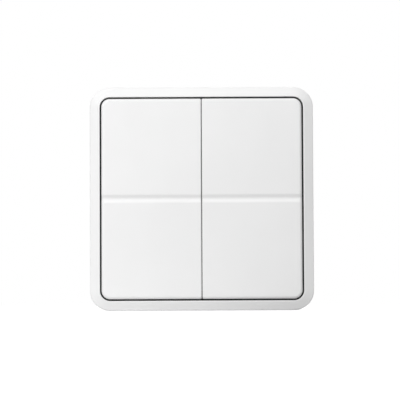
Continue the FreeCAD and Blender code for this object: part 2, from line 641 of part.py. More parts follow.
def frame():
    body = new_body("frame")
    pad(body, "XZ_Plane", PLATE_BACK, FRAME_FRONT, (square, FRAME_HALF, "sizes.frame_corner"))
    behind, ahead = f"{PLATE_BACK} - {OVERCUT}", f"{FRAME_FRONT} + {OVERCUT}"
    pocket(body, "XZ_Plane", behind, ahead, (square, OPENING, OPENING_CORNER))
    inside = (square, FRAME_INSIDE, INSIDE_CORNER)
    pocket(body, "XZ_Plane", behind, DECK, inside)
    lip = (square, f"({OPENING} + sizes.frame_lip)", f"({OPENING_CORNER} + sizes.frame_lip)")
    under_face = f"{FRAME_FRONT} - sizes.bevel_drop - sizes.frame_face"
    pocket(body, "XZ_Plane", DECK, under_face, inside, lip)
    front, half, corner = value(FRAME_FRONT), value(FRAME_HALF), value("sizes.frame_corner")

    def on_outside(point):
        across, up = abs(point.x) - half + corner, abs(point.z) - half + corner
        on_corner = min(across, up) > 0 and near(math.hypot(across, up), corner)
        return on_corner or near(abs(point.x), half) or near(abs(point.z), half)

    def outer_front(middle, ends):
        return on_outside(middle) and all(near(point.y, -front) for point in ends)

    def bevel_foot(middle, ends):
        bevel_end = value(f"{FRAME_FRONT} - sizes.bevel_drop")
        return on_outside(middle) and all(near(-point.y, bevel_end) for point in ends)

    bevel = dress("Chamfer", body, outer_front, Size="sizes.bevel_run", Size2="sizes.bevel_drop")
    bevel.ChamferType = "Two distances"
    bevel.FlipDirection = True
    dress("Fillet", body, bevel_foot, Radius="sizes.bevel_round")
    nub = [
        (f"({FRAME_INSIDE})", NUB_FRONT),
        (NUB_TIP, NUB_FRONT),
        (f"({FRAME_INSIDE})", NUB_BACK),
    ]
    corners = [(across, minus(depth), None) for across, depth in nub]
    for level in SIDES:
        turned(body, pad(body, "XY_Plane", *nub_span(level), (outline, corners)))


def key(label, side):
    """One rocker key. The left one is the right one's mirror image."""
    body = new_body(label)

    def span(low, high):
        """Two distances from the middle as a left and a right x on the key's own side."""
        return (low, high) if side > 0 else (minus(high), minus(low))

    section = [
        (minus(SKIRT_END), minus(KEY_HALF), None),
        (minus(SKIRT_END), KEY_HALF, None),
        (minus(KEY_FRONT), KEY_HALF, None),
        (minus(KEY_FRONT), "sizes.groove_half", "sizes.groove_edge_round"),
        (minus(f"{KEY_FRONT} - sizes.groove_drop"), "0", "sizes.groove_floor_round"),
        (minus(KEY_FRONT), "-sizes.groove_half", "sizes.groove_edge_round"),
        (minus(KEY_FRONT), minus(KEY_HALF), None),
    ]
    pad(body, "YZ_Plane", *span(KEY_IN, KEY_HALF), (outline, section))
    half, inner, corner = value(KEY_HALF), value(KEY_IN), value(KEY_CORNER)
    back, skirt_end = value(KEY_BACK), value(SKIRT_END)

    def outer_upright(middle, ends):
        return near(abs(middle.x), half) and near(abs(middle.z), half)

    def outer_rim(middle, ends):
        across, up = abs(middle.x) - half + corner, abs(middle.z) - half + corner
        on_corner = min(across, up) > 0 and near(math.hypot(across, up), corner)
        outside = near(abs(middle.x), half) or near(abs(middle.z), half) or on_corner
        return outside and all(-point.y > back for point in ends)

    def inner_rim(middle, ends):
        return near(abs(middle.x), inner) and not near(-middle.y, skirt_end)

    dress("Fillet", body, outer_upright, Radius=KEY_CORNER)
    dress("Fillet", body, outer_rim, Radius="sizes.key_round")
    dress("Chamfer", body, inner_rim, Size="sizes.key_inner_chamfer")
    inside, wall = f"({KEY_IN} + sizes.skirt_wall)", f"({KEY_HALF} - sizes.skirt_wall)"
    hollow_corner = f"({KEY_CORNER} - sizes.skirt_wall)"
    hollow = [
        (f"{side} * {inside}", minus(wall), None),
        (f"{side} * {wall}", minus(wall), hollow_corner),
        (f"{side} * {wall}", wall, hollow_corner),
        (f"{side} * {inside}", wall, None),
    ]
    pocket(body, "XZ_Plane", f"{SKIRT_END} - {OVERCUT}", KEY_BACK, (outline, hollow))
    tip = f"({PLUNGER_TOP} + sizes.push_gap)"
    half_pusher = "sizes.pusher_width / 2"
    pusher_sides = span(f"({SWITCH_X} - {half_pusher})", f"({SWITCH_X} + {half_pusher})")
    pushers = []
    for level in SIDES:
        middle = f"{level} * sizes.switch_rise"
        pushers.append((rectangle, *pusher_sides, f"{middle} - {half_pusher}", f"{middle} + {half_pusher}"))
    pad(body, "XZ_Plane", tip, KEY_BACK, *pushers)
    rib_back, half_rib = f"({KEY_BACK} - sizes.rib_height)", "sizes.rib_width / 2"
    rib_sides = span(f"({SWITCH_X} - {half_rib})", f"({SWITCH_X} + {half_rib})")
    pad(body, "XZ_Plane", rib_back, KEY_BACK, (rectangle, *rib_sides, minus(wall), wall))
    cross_ribs = [
        (
            rectangle,
            *span(inside, wall),
            f"{level} * sizes.switch_rise - {half_rib}",
            f"{level} * sizes.switch_rise + {half_rib}",
        )
        for level in SIDES
    ]
    pad(body, "XZ_Plane", rib_back, KEY_BACK, *cross_ribs)
    leg = [
        (minus(KEY_BACK), "sizes.leg_half", None),
        (minus(KEY_BACK), "-sizes.leg_half", None),
        (minus(f"{DECK} + sizes.leg_gap"), "-sizes.leg_half", None),
        (minus(f"{DECK} + sizes.leg_gap"), "sizes.leg_half", None),
    ]
    clear = "(sizes.bearing_length / 2 + sizes.bearing_play)"
    for across in BEARINGS:
        for low, high in (
            (f"({across} - {clear} - sizes.leg_thickness)", f"({across} - {clear})"),
            (f"({across} + {clear})", f"({across} + {clear} + sizes.leg_thickness)"),
        ):
            pad(body, "YZ_Plane", *span(low, high), (outline, leg))
        trunnion = (circle, minus(AXIS), "0", "sizes.trunnion_radius")
        pad(body, "YZ_Plane", *span(f"({across} - {clear})", f"({across} + {clear})"), trunnion)


def circuit_board():
    body = new_body("circuit_board")
    face = (rectangle, minus(BOARD_HALF_X), BOARD_HALF_X, minus(BOARD_HALF_Z), BOARD_HALF_Z)
    pad(body, "XZ_Plane", BOARD_BACK, BOARD_FRONT, face)
    through = f"{BOARD_BACK} - {OVERCUT}", f"{BOARD_FRONT} + {OVERCUT}"
    pocket(body, "XZ_Plane", *through, *board_corners("sizes.hole_radius"))


def board_screws():
    body = new_body("board_screws")
    head_top = f"({BOARD_FRONT} + sizes.screw_cap)"
    pad(body, "XZ_Plane", BOARD_FRONT, head_top, *board_corners("sizes.screw_head"))
    shanks = board_corners("sizes.screw_radius")
    pad(body, "XZ_Plane", f"{BOARD_FRONT} - sizes.screw_length", BOARD_FRONT, *shanks)


def switch_body(kind, side, level):
    """A body of one of the four switches, built about the origin and placed at its switch."""
    height, hand = ("upper" if level > 0 else "lower"), ("right" if side > 0 else "left")
    body = new_body(f"switch_{kind}_{height}_{hand}")
    body.setExpression("Placement.Base.x", f"{side} * {SWITCH_X}")
    body.setExpression("Placement.Base.z", f"{level} * sizes.switch_rise")
    return body


def switch(side, level):
    """One long-travel push switch: base, cover, plunger and bowed leaf spring."""
    base = switch_body("base", side, level)
    pad(base, "XZ_Plane", BOARD_FRONT, BASE_TOP, (square, "sizes.switch_size / 2"))
    bore = "(sizes.switch_size / 2 - sizes.switch_wall)"
    pocket(base, "XZ_Plane", BASE_FLOOR, f"{BASE_TOP} + {OVERCUT}", (square, bore))

    cover = switch_body("cover", side, level)
    half_width, half_size = "(sizes.cover_width / 2)", "(sizes.switch_size / 2 + sizes.cover_slack)"
    fold_end = f"({BASE_TOP} - sizes.cover_fold)"
    outer, cover_top = f"({half_size} + sizes.cover_thickness)", f"{BASE_TOP} + sizes.cover_thickness"
    blank = (rectangle, minus(half_width), half_width, minus(outer), outer)
    pad(cover, "XZ_Plane", fold_end, cover_top, blank)
    wide = f"({half_width} + {OVERCUT})"
    between_folds = (rectangle, minus(wide), wide, minus(half_size), half_size)
    pocket(cover, "XZ_Plane", f"{fold_end} - {OVERCUT}", BASE_TOP, between_folds)
    hole = (square, "(sizes.plunger_size / 2 + sizes.plunger_gap)")
    pocket(cover, "XZ_Plane", fold_end, f"{cover_top} + {OVERCUT}", hole)

    plunger = switch_body("plunger", side, level)
    pad(plunger, "XZ_Plane", FLANGE_BACK, FLANGE_FRONT, (square, f"({bore} - sizes.flange_gap)"))
    pad(plunger, "XZ_Plane", FLANGE_FRONT, PLUNGER_TOP, (square, "sizes.plunger_size / 2"))

    spring = switch_body("spring", side, level)
    low, sheet_size = f"({BASE_FLOOR} + sizes.spring_seat)", "sizes.spring_sheet"
    high = f"({FLANGE_BACK} - sizes.spring_seat - {sheet_size})"
    foot = "(sizes.spring_half - sizes.spring_foot)"
    bow = [
        ("-sizes.spring_half", low),
        (minus(foot), low),
        ("-sizes.spring_crest", high),
        ("sizes.spring_crest", high),
        (foot, low),
        ("sizes.spring_half", low),
    ]
    under = [(across, minus(depth), None) for across, depth in bow]
    over = [(across, minus(f"{depth} + {sheet_size}"), None) for across, depth in reversed(bow)]
    half_leaf = "sizes.spring_width / 2"
    pad(spring, "XY_Plane", minus(half_leaf), half_leaf, (outline, under + over))


def switch_terminals():
    """Four bent leads on each switch, soldered to the board."""
    body = new_body("switch_terminals")
    root, thick = "(sizes.switch_size / 2)", "sizes.lead_thickness"
    far = f"({root} + sizes.lead_reach)"
    knee = f"({root} + sizes.lead_reach / 2)"
    lead = [
        (root, f"({BOARD_FRONT} + sizes.lead_rise)"),
        (f"({knee} - {thick})", f"({BOARD_FRONT} + sizes.lead_rise)"),
        (f"({knee} - {thick})", BOARD_FRONT),
        (far, BOARD_FRONT),
        (far, f"({BOARD_FRONT} + {thick})"),
        (knee, f"({BOARD_FRONT} + {thick})"),
        (knee, f"({BOARD_FRONT} + sizes.lead_rise + {thick})"),
        (root, f"({BOARD_FRONT} + sizes.lead_rise + {thick})"),
    ]
    roots = [(f"{side} * {SWITCH_X}", hand) for side in SIDES for hand in SIDES]
    leads = [
        (outline, [(f"{middle} + {hand} * {across}", minus(depth), None) for across, depth in lead])
        for middle, hand in roots
    ]
    for level in SIDES:
        for end in SIDES:
            middle = f"({level} * sizes.switch_rise + {end} * sizes.lead_offset)"
            low, high = f"{middle} - sizes.lead_width / 2", f"{middle} + sizes.lead_width / 2"
            pad(body, "XY_Plane", low, high, *leads)


def coin_cell():
    body = new_body("coin_cell")
    body.setExpression("Placement.Base.z", CELL_UP)
    step = f"({CELL_FRONT} - sizes.cell_step)"
    revolve(
        body,
        [
            ("0", CELL_BACK, None),
            ("sizes.cell_radius", CELL_BACK, None),
            ("sizes.cell_radius", step, None),
            ("sizes.cell_cap", step, None),
            ("sizes.cell_cap", CELL_FRONT, None),
            ("0", CELL_FRONT, None),
        ],
    )


def battery_clips():
    body = new_body("battery_clips")
    sheet_in, reach, sheet_out = "(sizes.cell_radius + sizes.clip_gap)", "sizes.clip_sheet", CLIP_OUT
    lip_front = f"({CELL_BACK} - sizes.contact_seat)"
    lip_back = f"({lip_front} - {reach})"
    lip_end, foot_end = f"({sheet_in} - sizes.clip_lip)", f"({sheet_out} + sizes.clip_foot)"
    clip = [
        (foot_end, BOARD_BACK),
        (foot_end, f"({BOARD_BACK} - {reach})"),
        (sheet_out, f"({BOARD_BACK} - {reach})"),
        (sheet_out, lip_back),
        (lip_end, lip_back),
        (lip_end, lip_front),
        (sheet_in, lip_front),
        (sheet_in, BOARD_BACK),
    ]
    shapes = [
        (outline, [(f"{side} * {across}", minus(depth), None) for across, depth in clip]) for side in SIDES
    ]
    pad(body, "XY_Plane", f"{CELL_UP} - sizes.clip_width / 2", f"{CELL_UP} + sizes.clip_width / 2", *shapes)


def battery_contact():
    body = new_body("battery_contact")
    half, thick = "(sizes.contact_length / 2)", "sizes.contact_sheet"
    raised = f"({CELL_FRONT} + sizes.contact_seat)"
    foot, rise = f"(sizes.contact_foot - {half})", f"(sizes.contact_foot - sizes.contact_length / 6)"
    leaf = [
        (minus(half), BOARD_BACK),
        (foot, BOARD_BACK),
        (rise, f"({raised} + {thick})"),
        (half, f"({raised} + {thick})"),
        (half, raised),
        (rise, raised),
        (foot, f"({BOARD_BACK} - {thick})"),
        (minus(half), f"({BOARD_BACK} - {thick})"),
    ]
    corners = [(across, minus(depth), None) for across, depth in leaf]
    half_width = "sizes.contact_width / 2"
    pad(body, "XY_Plane", f"{CELL_UP} - {half_width}", f"{CELL_UP} + {half_width}", (outline, corners))


RADIO_LOW = "(sizes.radio_rise - sizes.radio_height / 2)"
RADIO_HIGH = "(sizes.radio_rise + sizes.radio_height / 2)"
RADIO_BACK = f"({BOARD_BACK} - sizes.radio_board_thickness)"


def radio_board():
    body = new_body("radio_board")
    face = (rectangle, "-sizes.radio_width / 2", "sizes.radio_width / 2", RADIO_LOW, RADIO_HIGH)
    pad(body, "XZ_Plane", RADIO_BACK, BOARD_BACK, face)
    count = int(value("sizes.castellation_count"))
    reach, side_half = "sizes.castellation_half", "sizes.radio_width / 2"
    notches = []
    for i in range(count):
        middle = f"({RADIO_LOW} + {i + 1} * sizes.castellation_pitch)"
        heights = f"{middle} - {reach}", f"{middle} + {reach}"
        notches.append((rectangle, f"{side_half} - {reach}", f"{side_half} + {OVERCUT}", *heights))
        notches.append((rectangle, f"-{side_half} - {OVERCUT}", f"-{side_half} + {reach}", *heights))
    pocket(body, "XZ_Plane", f"{RADIO_BACK} - {OVERCUT}", f"{BOARD_BACK} + {OVERCUT}", *notches)


def radio_shield():
    body = new_body("radio_shield")
    back = f"({RADIO_BACK} - sizes.shield_depth)"
    low = f"({RADIO_LOW} + sizes.shield_margin)"
    high = f"({RADIO_HIGH} - sizes.antenna_room)"
    half, sheet_size = "(sizes.shield_width / 2)", "sizes.shield_sheet"
    pad(body, "XZ_Plane", back, RADIO_BACK, (rectangle, minus(half), half, low, high))
    hollow = (
        rectangle,
        minus(f"{half} - {sheet_size}"),
        f"{half} - {sheet_size}",
        f"{low} + {sheet_size}",
        f"{high} - {sheet_size}",
    )
    pocket(body, "XZ_Plane", f"{back} + {sheet_size}", f"{RADIO_BACK} + {OVERCUT}", hollow)


def crystal():
    body = new_body("crystal")
    middle, half = "sizes.crystal_offset", "sizes.crystal_width / 2"
    low, high = "sizes.radio_rise - sizes.crystal_height / 2", "sizes.radio_rise + sizes.crystal_height / 2"
    can = (rectangle, f"{middle} - {half}", f"{middle} + {half}", low, high)
    pad(body, "XZ_Plane", f"{BOARD_BACK} - sizes.crystal_depth", BOARD_BACK, can)


def capacitors():
    body = new_body("capacitors")
    half_width, half_height = "sizes.chip_width / 2", "sizes.chip_height / 2"
    count = int(value("sizes.chip_count"))
    chips = []
    for i in range(count):
        up = f"(sizes.radio_rise + {i - (count - 1) / 2} * sizes.chip_pitch)"
        left, right = f"-sizes.crystal_offset - {half_width}", f"-sizes.crystal_offset + {half_width}"
        chips.append((rectangle, left, right, f"{up} - {half_height}", f"{up} + {half_height}"))
    pad(body, "XZ_Plane", f"{BOARD_BACK} - sizes.chip_depth", BOARD_BACK, *chips)


def check_and_export():
    """Stops at the first object that failed, then writes each sub-part's file."""
    doc.recompute()
    for item in doc.Objects:
        if {"Invalid", "Error"} & set(item.State):
            raise RuntimeError(f"{item.Name} failed")
        if item.isDerivedFrom("PartDesign::Pocket"):
            if item.Shape.Volume > item.BaseFeature.Shape.Volume - 1e-6:
                raise RuntimeError(f"{item.Name} cuts nothing")
    os.makedirs("parts", exist_ok=True)
    for body in doc.findObjects("PartDesign::Body"):
        shape = body.Shape
        if shape.isNull() or not shape.isValid():
            raise RuntimeError(f"{body.Label} has no valid shape")
        shape.exportStep(f"parts/{body.Label}.step")
        print(f"{body.Label}: {len(shape.Solids)} solids, {shape.Volume:.2f} mm3")


adhesive_pad()
wall_plate()
rear_housing()
coin_cell()
battery_clips()
battery_contact()
circuit_board()
board_screws()
radio_board()
radio_shield()
crystal()
capacitors()
for switch_side in SIDES:
    for switch_level in SIDES:
        switch(switch_side, switch_level)
switch_terminals()
key_carrier()
key("key_left", -1)
key("key_right", 1)
frame()
check_and_export()
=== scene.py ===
import math

import bmesh
import bpy
from mathutils import Matrix, Vector


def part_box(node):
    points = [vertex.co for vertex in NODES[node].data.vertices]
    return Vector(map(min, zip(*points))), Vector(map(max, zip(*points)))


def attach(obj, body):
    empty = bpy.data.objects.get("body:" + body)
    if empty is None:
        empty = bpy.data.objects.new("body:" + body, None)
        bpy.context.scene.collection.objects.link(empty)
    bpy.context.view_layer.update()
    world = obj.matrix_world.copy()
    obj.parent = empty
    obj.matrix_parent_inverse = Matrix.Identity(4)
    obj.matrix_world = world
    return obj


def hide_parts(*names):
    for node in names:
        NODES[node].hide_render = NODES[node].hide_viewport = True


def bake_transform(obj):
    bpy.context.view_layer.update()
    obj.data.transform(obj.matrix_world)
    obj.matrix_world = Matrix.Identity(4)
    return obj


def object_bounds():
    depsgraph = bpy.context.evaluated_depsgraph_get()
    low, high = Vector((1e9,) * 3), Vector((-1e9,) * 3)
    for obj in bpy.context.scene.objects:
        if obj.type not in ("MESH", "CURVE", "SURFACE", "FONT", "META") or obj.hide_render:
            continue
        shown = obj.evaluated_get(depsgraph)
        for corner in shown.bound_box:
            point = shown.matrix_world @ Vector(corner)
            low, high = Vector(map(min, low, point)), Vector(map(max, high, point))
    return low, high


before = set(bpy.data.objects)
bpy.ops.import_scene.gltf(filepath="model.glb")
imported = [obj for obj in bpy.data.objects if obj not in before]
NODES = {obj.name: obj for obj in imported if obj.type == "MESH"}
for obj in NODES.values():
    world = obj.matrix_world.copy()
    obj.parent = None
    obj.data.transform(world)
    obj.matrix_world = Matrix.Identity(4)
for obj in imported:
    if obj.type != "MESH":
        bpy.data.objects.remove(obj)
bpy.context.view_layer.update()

# Where the frame's outline lies in the photograph, in pixels of the 400 x 400 picture
PHOTO_SIDE = 400
OUTLINE_LEFT, OUTLINE_RIGHT = 89.9, 313.5
OUTLINE_TOP, OUTLINE_BOTTOM = 87.5, 309.7

# That outline is where the sloping border meets the side walls, at this share of the frame's depth
OUTLINE_DEPTH = 0.1

# The camera stands straight in front, a little below the middle, and is rolled a little
CAMERA_DISTANCE = 0.80
CAMERA_ELEVATION = math.radians(-2.9)
CAMERA_ROLL = math.radians(-0.26)
SENSOR = 36.0

# The floor lies this far below the object, so that the two faces don't coincide
FLOOR_DROP = 0.00005

# Edges of a modelled piece that turn by more than this stay sharp
SHARP_ANGLE = math.radians(40)

# The stretches of a noise's values, round their middle, that a ramp spreads out
NOISE_WIDE, NOISE_NARROW = (0.3, 0.7), (0.35, 0.65)


def node_names(prefix):
    """CAD nodes whose names start with the prefix."""
    return [name for name in NODES if name.startswith(prefix)]


# Camera

def aimed(place, aim):
    """The matrix of a camera or lamp that stands at a place and looks at a point."""
    turn = (Vector(aim) - Vector(place)).to_track_quat("-Z", "Y")
    return Matrix.Translation(place) @ turn.to_matrix().to_4x4()


def make_camera():
    """A camera that shows the frame's outline where the photograph has it."""
    low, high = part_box("frame")
    outline_y = low.y + (high.y - low.y) * OUTLINE_DEPTH
    camera_y = outline_y - CAMERA_DISTANCE * math.cos(CAMERA_ELEVATION)
    camera_z = CAMERA_DISTANCE * math.sin(CAMERA_ELEVATION)
    photo_share = (OUTLINE_RIGHT - OUTLINE_LEFT) / PHOTO_SIDE
    data = bpy.data.cameras.new("camera")
    data.sensor_width = SENSOR
    data.lens = SENSOR * CAMERA_DISTANCE * photo_share / (high.x - low.x)
    data.shift_x = (PHOTO_SIDE / 2 - (OUTLINE_LEFT + OUTLINE_RIGHT) / 2) / PHOTO_SIDE
    data.shift_y = ((OUTLINE_TOP + OUTLINE_BOTTOM) / 2 - PHOTO_SIDE / 2) / PHOTO_SIDE
    data.clip_start, data.clip_end = 0.01, 20
    camera = bpy.data.objects.new("camera", data)
    bpy.context.scene.collection.objects.link(camera)
    unrolled = aimed((0, camera_y, camera_z), (0, outline_y, 0))
    camera.matrix_world = unrolled @ Matrix.Rotation(CAMERA_ROLL, 4, "Z")
    bpy.context.scene.camera = camera


# Node trees

class Shader:
    """The node tree of a material or world, with short ways to add nodes and join them."""

    def __init__(self, name, world=False):
        self.owner = bpy.data.worlds.new(name) if world else bpy.data.materials.new(name)
        self.owner.use_nodes = True
        self.nodes, self.links = self.owner.node_tree.nodes, self.owner.node_tree.links
        self.nodes.clear()
        self.end = self.nodes.new("ShaderNodeOutputWorld" if world else "ShaderNodeOutputMaterial")
        self.coordinates = self.add("ShaderNodeTexCoord").outputs
        self.place = self.coordinates["Object"]

    def add(self, kind, inputs=(), **settings):
        """A node with its settings, and with a value or another node's output for each input given."""
        node = self.nodes.new(kind)
        for key, value in settings.items():
            setattr(node, key, value)
        for socket, value in dict(inputs).items():
            if isinstance(value, bpy.types.NodeSocket):
                self.links.new(value, node.inputs[socket])
            else:
                node.inputs[socket].default_value = value
        return node

    def noise(self, size, detail=3.0, roughness=0.55, squeeze=None):
        """Noise from 0 to 1 with blobs about size metres across, shorter along the axes that squeeze says."""
        place = self.place
        if squeeze:
            place = self.add("ShaderNodeMapping", {"Vector": place, "Scale": squeeze}).outputs["Vector"]
        inputs = {"Vector": place, "Scale": 1 / size, "Detail": detail, "Roughness": roughness}
        return self.add("ShaderNodeTexNoise", inputs).outputs["Fac"]

    def cells(self, size):
        """Random cells about size metres across: a colour each, and the distance from the middle in sizes."""
        return self.add("ShaderNodeTexVoronoi", {"Vector": self.place, "Scale": 1 / size}).outputs

    def ramp(self, factor, low, high, start=0.0, end=1.0):
        """A number that runs from start to end while the factor runs from low to high."""
        inputs = {"Value": factor, "From Min": low, "From Max": high, "To Min": start, "To Max": end}
        return self.add("ShaderNodeMapRange", inputs).outputs["Result"]

    def math(self, operation, first, second=0.0):
        return self.add("ShaderNodeMath", {0: first, 1: second}, operation=operation).outputs[0]

    def mix(self, factor, first, second):
        """The first colour where the factor is 0, the second where it is 1."""
        inputs = {"Factor": factor, "A": first, "B": second}
        return self.add("ShaderNodeMix", inputs, data_type="RGBA").outputs["Result"]

    def wave(self, along, pitch):
        """A wave from -1 to 1 that repeats at each pitch along a distance."""
        return self.math("SINE", self.math("MULTIPLY", along, 2 * math.pi / pitch))

    def axis(self, letter):
        """One coordinate of the place on the object, in metres."""
        return self.add("ShaderNodeSeparateXYZ", {"Vector": self.place}).outputs[letter]

    def facing(self, letter):
        """How squarely the surface faces along an axis, from 0 to 1."""
        normal = self.add("ShaderNodeSeparateXYZ", {"Vector": self.coordinates["Normal"]})
        return self.math("ABSOLUTE", normal.outputs[letter])

    def away(self, across, up, mirrored=False):
        """Distance in the wall's plane from a point or, mirrored, from the nearest of four such points."""
        squares = []
        for letter, middle in (("X", across), ("Z", up)):
            place = self.axis(letter)
            if mirrored:
                place = self.math("ABSOLUTE", place)
            squares.append(self.math("POWER", self.math("SUBTRACT", place, middle), 2.0))
        return self.math("SQRT", self.math("ADD", *squares))

    def edges(self):
        """1 on sharp outer edges, 0 elsewhere."""
        rounded, sharp = 0.52, 0.62
        return self.ramp(self.add("ShaderNodeNewGeometry").outputs["Pointiness"], rounded, sharp)

    def bump(self, height, depth, strength=1.0, normal=None):
        """The normal of a relief as deep as that, in metres, laid over another normal if one is given."""
        inputs = {"Height": height, "Distance": depth, "Strength": strength}
        if normal:
            inputs["Normal"] = normal
        return self.add("ShaderNodeBump", inputs).outputs["Normal"]

    def seen(self):
        """1 for what the camera sees, also reflected or through glass, and 0 for what lights a surface."""
        path = self.add("ShaderNodeLightPath").outputs
        shown = self.math("MAXIMUM", path["Is Camera Ray"], path["Is Glossy Ray"])
        return self.math("MAXIMUM", shown, path["Is Transmission Ray"])

    def shade(self, kind, **inputs):
        """A shader, whose sockets are named with underscores for spaces."""
        named = {key.replace("_", " "): value for key, value in inputs.items()}
        return self.add(kind, named).outputs[0]

    def choice(self, factor, first, second):
        """The first shader where the factor is 0, the second where it is 1."""
        return self.add("ShaderNodeMixShader", {0: factor, 1: first, 2: second}).outputs[0]

    def finish(self, shader):
        """Ends the tree with a shader and gives the material or world."""
        self.links.new(shader, self.end.inputs["Surface"])
        return self.owner

    def surface(self, **inputs):
        return self.finish(self.shade("ShaderNodeBsdfPrincipled", **inputs))


def grey(level):
    return (level, level, level, 1)


def shaded(colour, factor):
    """The colour with its channels times the factor, so darker or brighter."""
    return tuple(channel * factor for channel in colour[:3]) + (1,)


# Materials

def moulded_plastic(name, colour, roughness, grain_size, grain_depth, marks=()):
    """Injection-moulded plastic: spark-eroded grain, faint flow shades, polished edges and ejector marks.

    The marks are rings that the mould's ejector pins leave, given as (across, up, radius); each one also
    stands mirrored in the other three quarters.
    """
    flow_size, flow_shade = 0.03, 0.98
    sheen_size, sheen_change, edge_polish = 0.012, 0.04, 0.08
    mark_edge, mark_depth = 0.0002, 0.00006
    tree = Shader(name)
    flow = tree.ramp(tree.noise(flow_size, detail=2), *NOISE_NARROW)
    shade = tree.mix(flow, colour, shaded(colour, flow_shade))
    sheen = tree.noise(sheen_size)
    rough = tree.ramp(sheen, *NOISE_WIDE, roughness - sheen_change, roughness + sheen_change)
    polished = tree.math("SUBTRACT", rough, tree.math("MULTIPLY", tree.edges(), edge_polish))
    grain = tree.noise(grain_size, detail=4, roughness=0.6)
    normal = tree.bump(grain, grain_depth, strength=0.6)
    for across, up, radius in marks:
        distance = tree.away(across, up, mirrored=True)
        dish = tree.ramp(distance, radius - mark_edge, radius)
        normal = tree.bump(dish, mark_depth, normal=normal)
    return tree.surface(Base_Color=shade, Roughness=polished, IOR=1.5, Normal=normal)


def sheet_metal(name, colour, roughness, line_size=0.0006, squeeze=(1, 1, 12)):
    """Rolled or drawn metal: fine lines across the squeezed axis, faint stains, and brighter rubbed edges."""
    stain_size, stain_range, stained, rubbed = 0.004, (0.4, 0.7), 0.85, 1.15
    roughness_change, line_depth = 0.08, 0.00001
    tree = Shader(name)
    lines = tree.noise(line_size, detail=4, roughness=0.6, squeeze=squeeze)
    stains = tree.ramp(tree.noise(stain_size), *stain_range)
    dull = tree.mix(stains, colour, shaded(colour, stained))
    return tree.surface(
        Base_Color=tree.mix(tree.edges(), dull, shaded(colour, rubbed)),
        Metallic=1.0,
        Roughness=tree.ramp(lines, *NOISE_WIDE, roughness - roughness_change, roughness + roughness_change),
        Normal=tree.bump(lines, line_depth, strength=0.4),
    )


def solder_mask(name):
    """A green board: raised copper tracks under the mask, tinned vias, and bare glass fibre at the edges."""
    mask, covered_copper = (0.012, 0.085, 0.034, 1), (0.03, 0.17, 0.06, 1)
    tin, fibre, hole_shade_black = (0.72, 0.72, 0.7, 1), (0.42, 0.36, 0.19, 1), grey(0.01)
    block_size, even_split = 0.007, (0.49, 0.51)
    track_pitch, track_share, track_height = 0.0008, 0.4, 0.00003
    via_spacing, ring_share, hole_share, hole_depth = 0.0045, 0.09, 0.045, 2.0
    face_limit, dust_size, clean, dusty = 0.7, 0.006, 0.26, 0.38
    tree = Shader(name)
    block = tree.add("ShaderNodeSeparateColor", {0: tree.cells(block_size)["Color"]}).outputs[0]
    upright = tree.ramp(block, *even_split)
    stripes = []
    for letter in "XZ":
        phase = tree.math("FRACT", tree.math("MULTIPLY", tree.axis(letter), 1 / track_pitch))
        stripes.append(tree.math("LESS_THAN", phase, track_share))
    upright_tracks = tree.math("MULTIPLY", stripes[0], upright)
    level_tracks = tree.math("MULTIPLY", stripes[1], tree.math("SUBTRACT", 1.0, upright))
    tracks = tree.math("ADD", upright_tracks, level_tracks)
    via = tree.cells(via_spacing)["Distance"]
    face = tree.math("GREATER_THAN", tree.facing("Y"), face_limit)
    ring = tree.math("MULTIPLY", tree.math("LESS_THAN", via, ring_share), face)
    hole = tree.math("LESS_THAN", via, hole_share)
    tinned = tree.mix(ring, tree.mix(tracks, mask, covered_copper), tin)
    # The via holes are painted near-black: painted shade in them, over the bump that sinks them
    holes_shade_painted = tree.mix(tree.math("MULTIPLY", hole, face), tinned, hole_shade_black)
    raised = tree.math("ADD", tracks, ring)
    height = tree.math("SUBTRACT", raised, tree.math("MULTIPLY", hole, hole_depth))
    return tree.surface(
        Base_Color=tree.mix(face, fibre, holes_shade_painted),
        Metallic=ring,
        Roughness=tree.ramp(tree.noise(dust_size), *NOISE_WIDE, clean, dusty),
        IOR=1.55,
        Normal=tree.bump(height, track_height, strength=0.8),
    )


def cell_can(name):
    """A button cell: a satin can with turned rings, and a plastic gasket where the cap is crimped in."""
    can, gasket_grey = (0.72, 0.72, 0.7, 1), (0.2, 0.2, 0.21, 1)
    cap_radius, crimp, crimp_depth = 0.0087, 0.0007, 0.0004
    ring_pitch, ring_depth, scratch_size, scratch_depth = 0.00025, 0.000004, 0.0008, 0.00001
    stain_size, stain_range, stained = 0.005, (0.45, 0.7), 0.85
    polished, worn, gasket_dullness = 0.22, 0.38, 0.25
    tree = Shader(name)
    low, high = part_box("coin_cell")
    distance = tree.away((low.x + high.x) / 2, (low.z + high.z) / 2)
    front = tree.math("LESS_THAN", tree.axis("Y"), low.y + crimp_depth)
    beside_cap = tree.math("GREATER_THAN", distance, cap_radius)
    inside_rim = tree.math("LESS_THAN", distance, cap_radius + crimp)
    gasket = tree.math("MULTIPLY", tree.math("MULTIPLY", beside_cap, inside_rim), front)
    stains = tree.ramp(tree.noise(stain_size), *stain_range)
    steel = tree.mix(stains, can, shaded(can, stained))
    scratches = tree.noise(scratch_size, detail=4, roughness=0.7, squeeze=(1, 1, 6))
    rough = tree.ramp(scratches, *NOISE_WIDE, polished, worn)
    scratched = tree.bump(scratches, scratch_depth, strength=0.4)
    turned = tree.bump(tree.wave(distance, ring_pitch), ring_depth, strength=0.5, normal=scratched)
    return tree.surface(
        Base_Color=tree.mix(gasket, steel, gasket_grey),
        Metallic=tree.math("SUBTRACT", 1.0, gasket),
        Roughness=tree.math("ADD", rough, tree.math("MULTIPLY", gasket, gasket_dullness)),
        Normal=turned,
    )


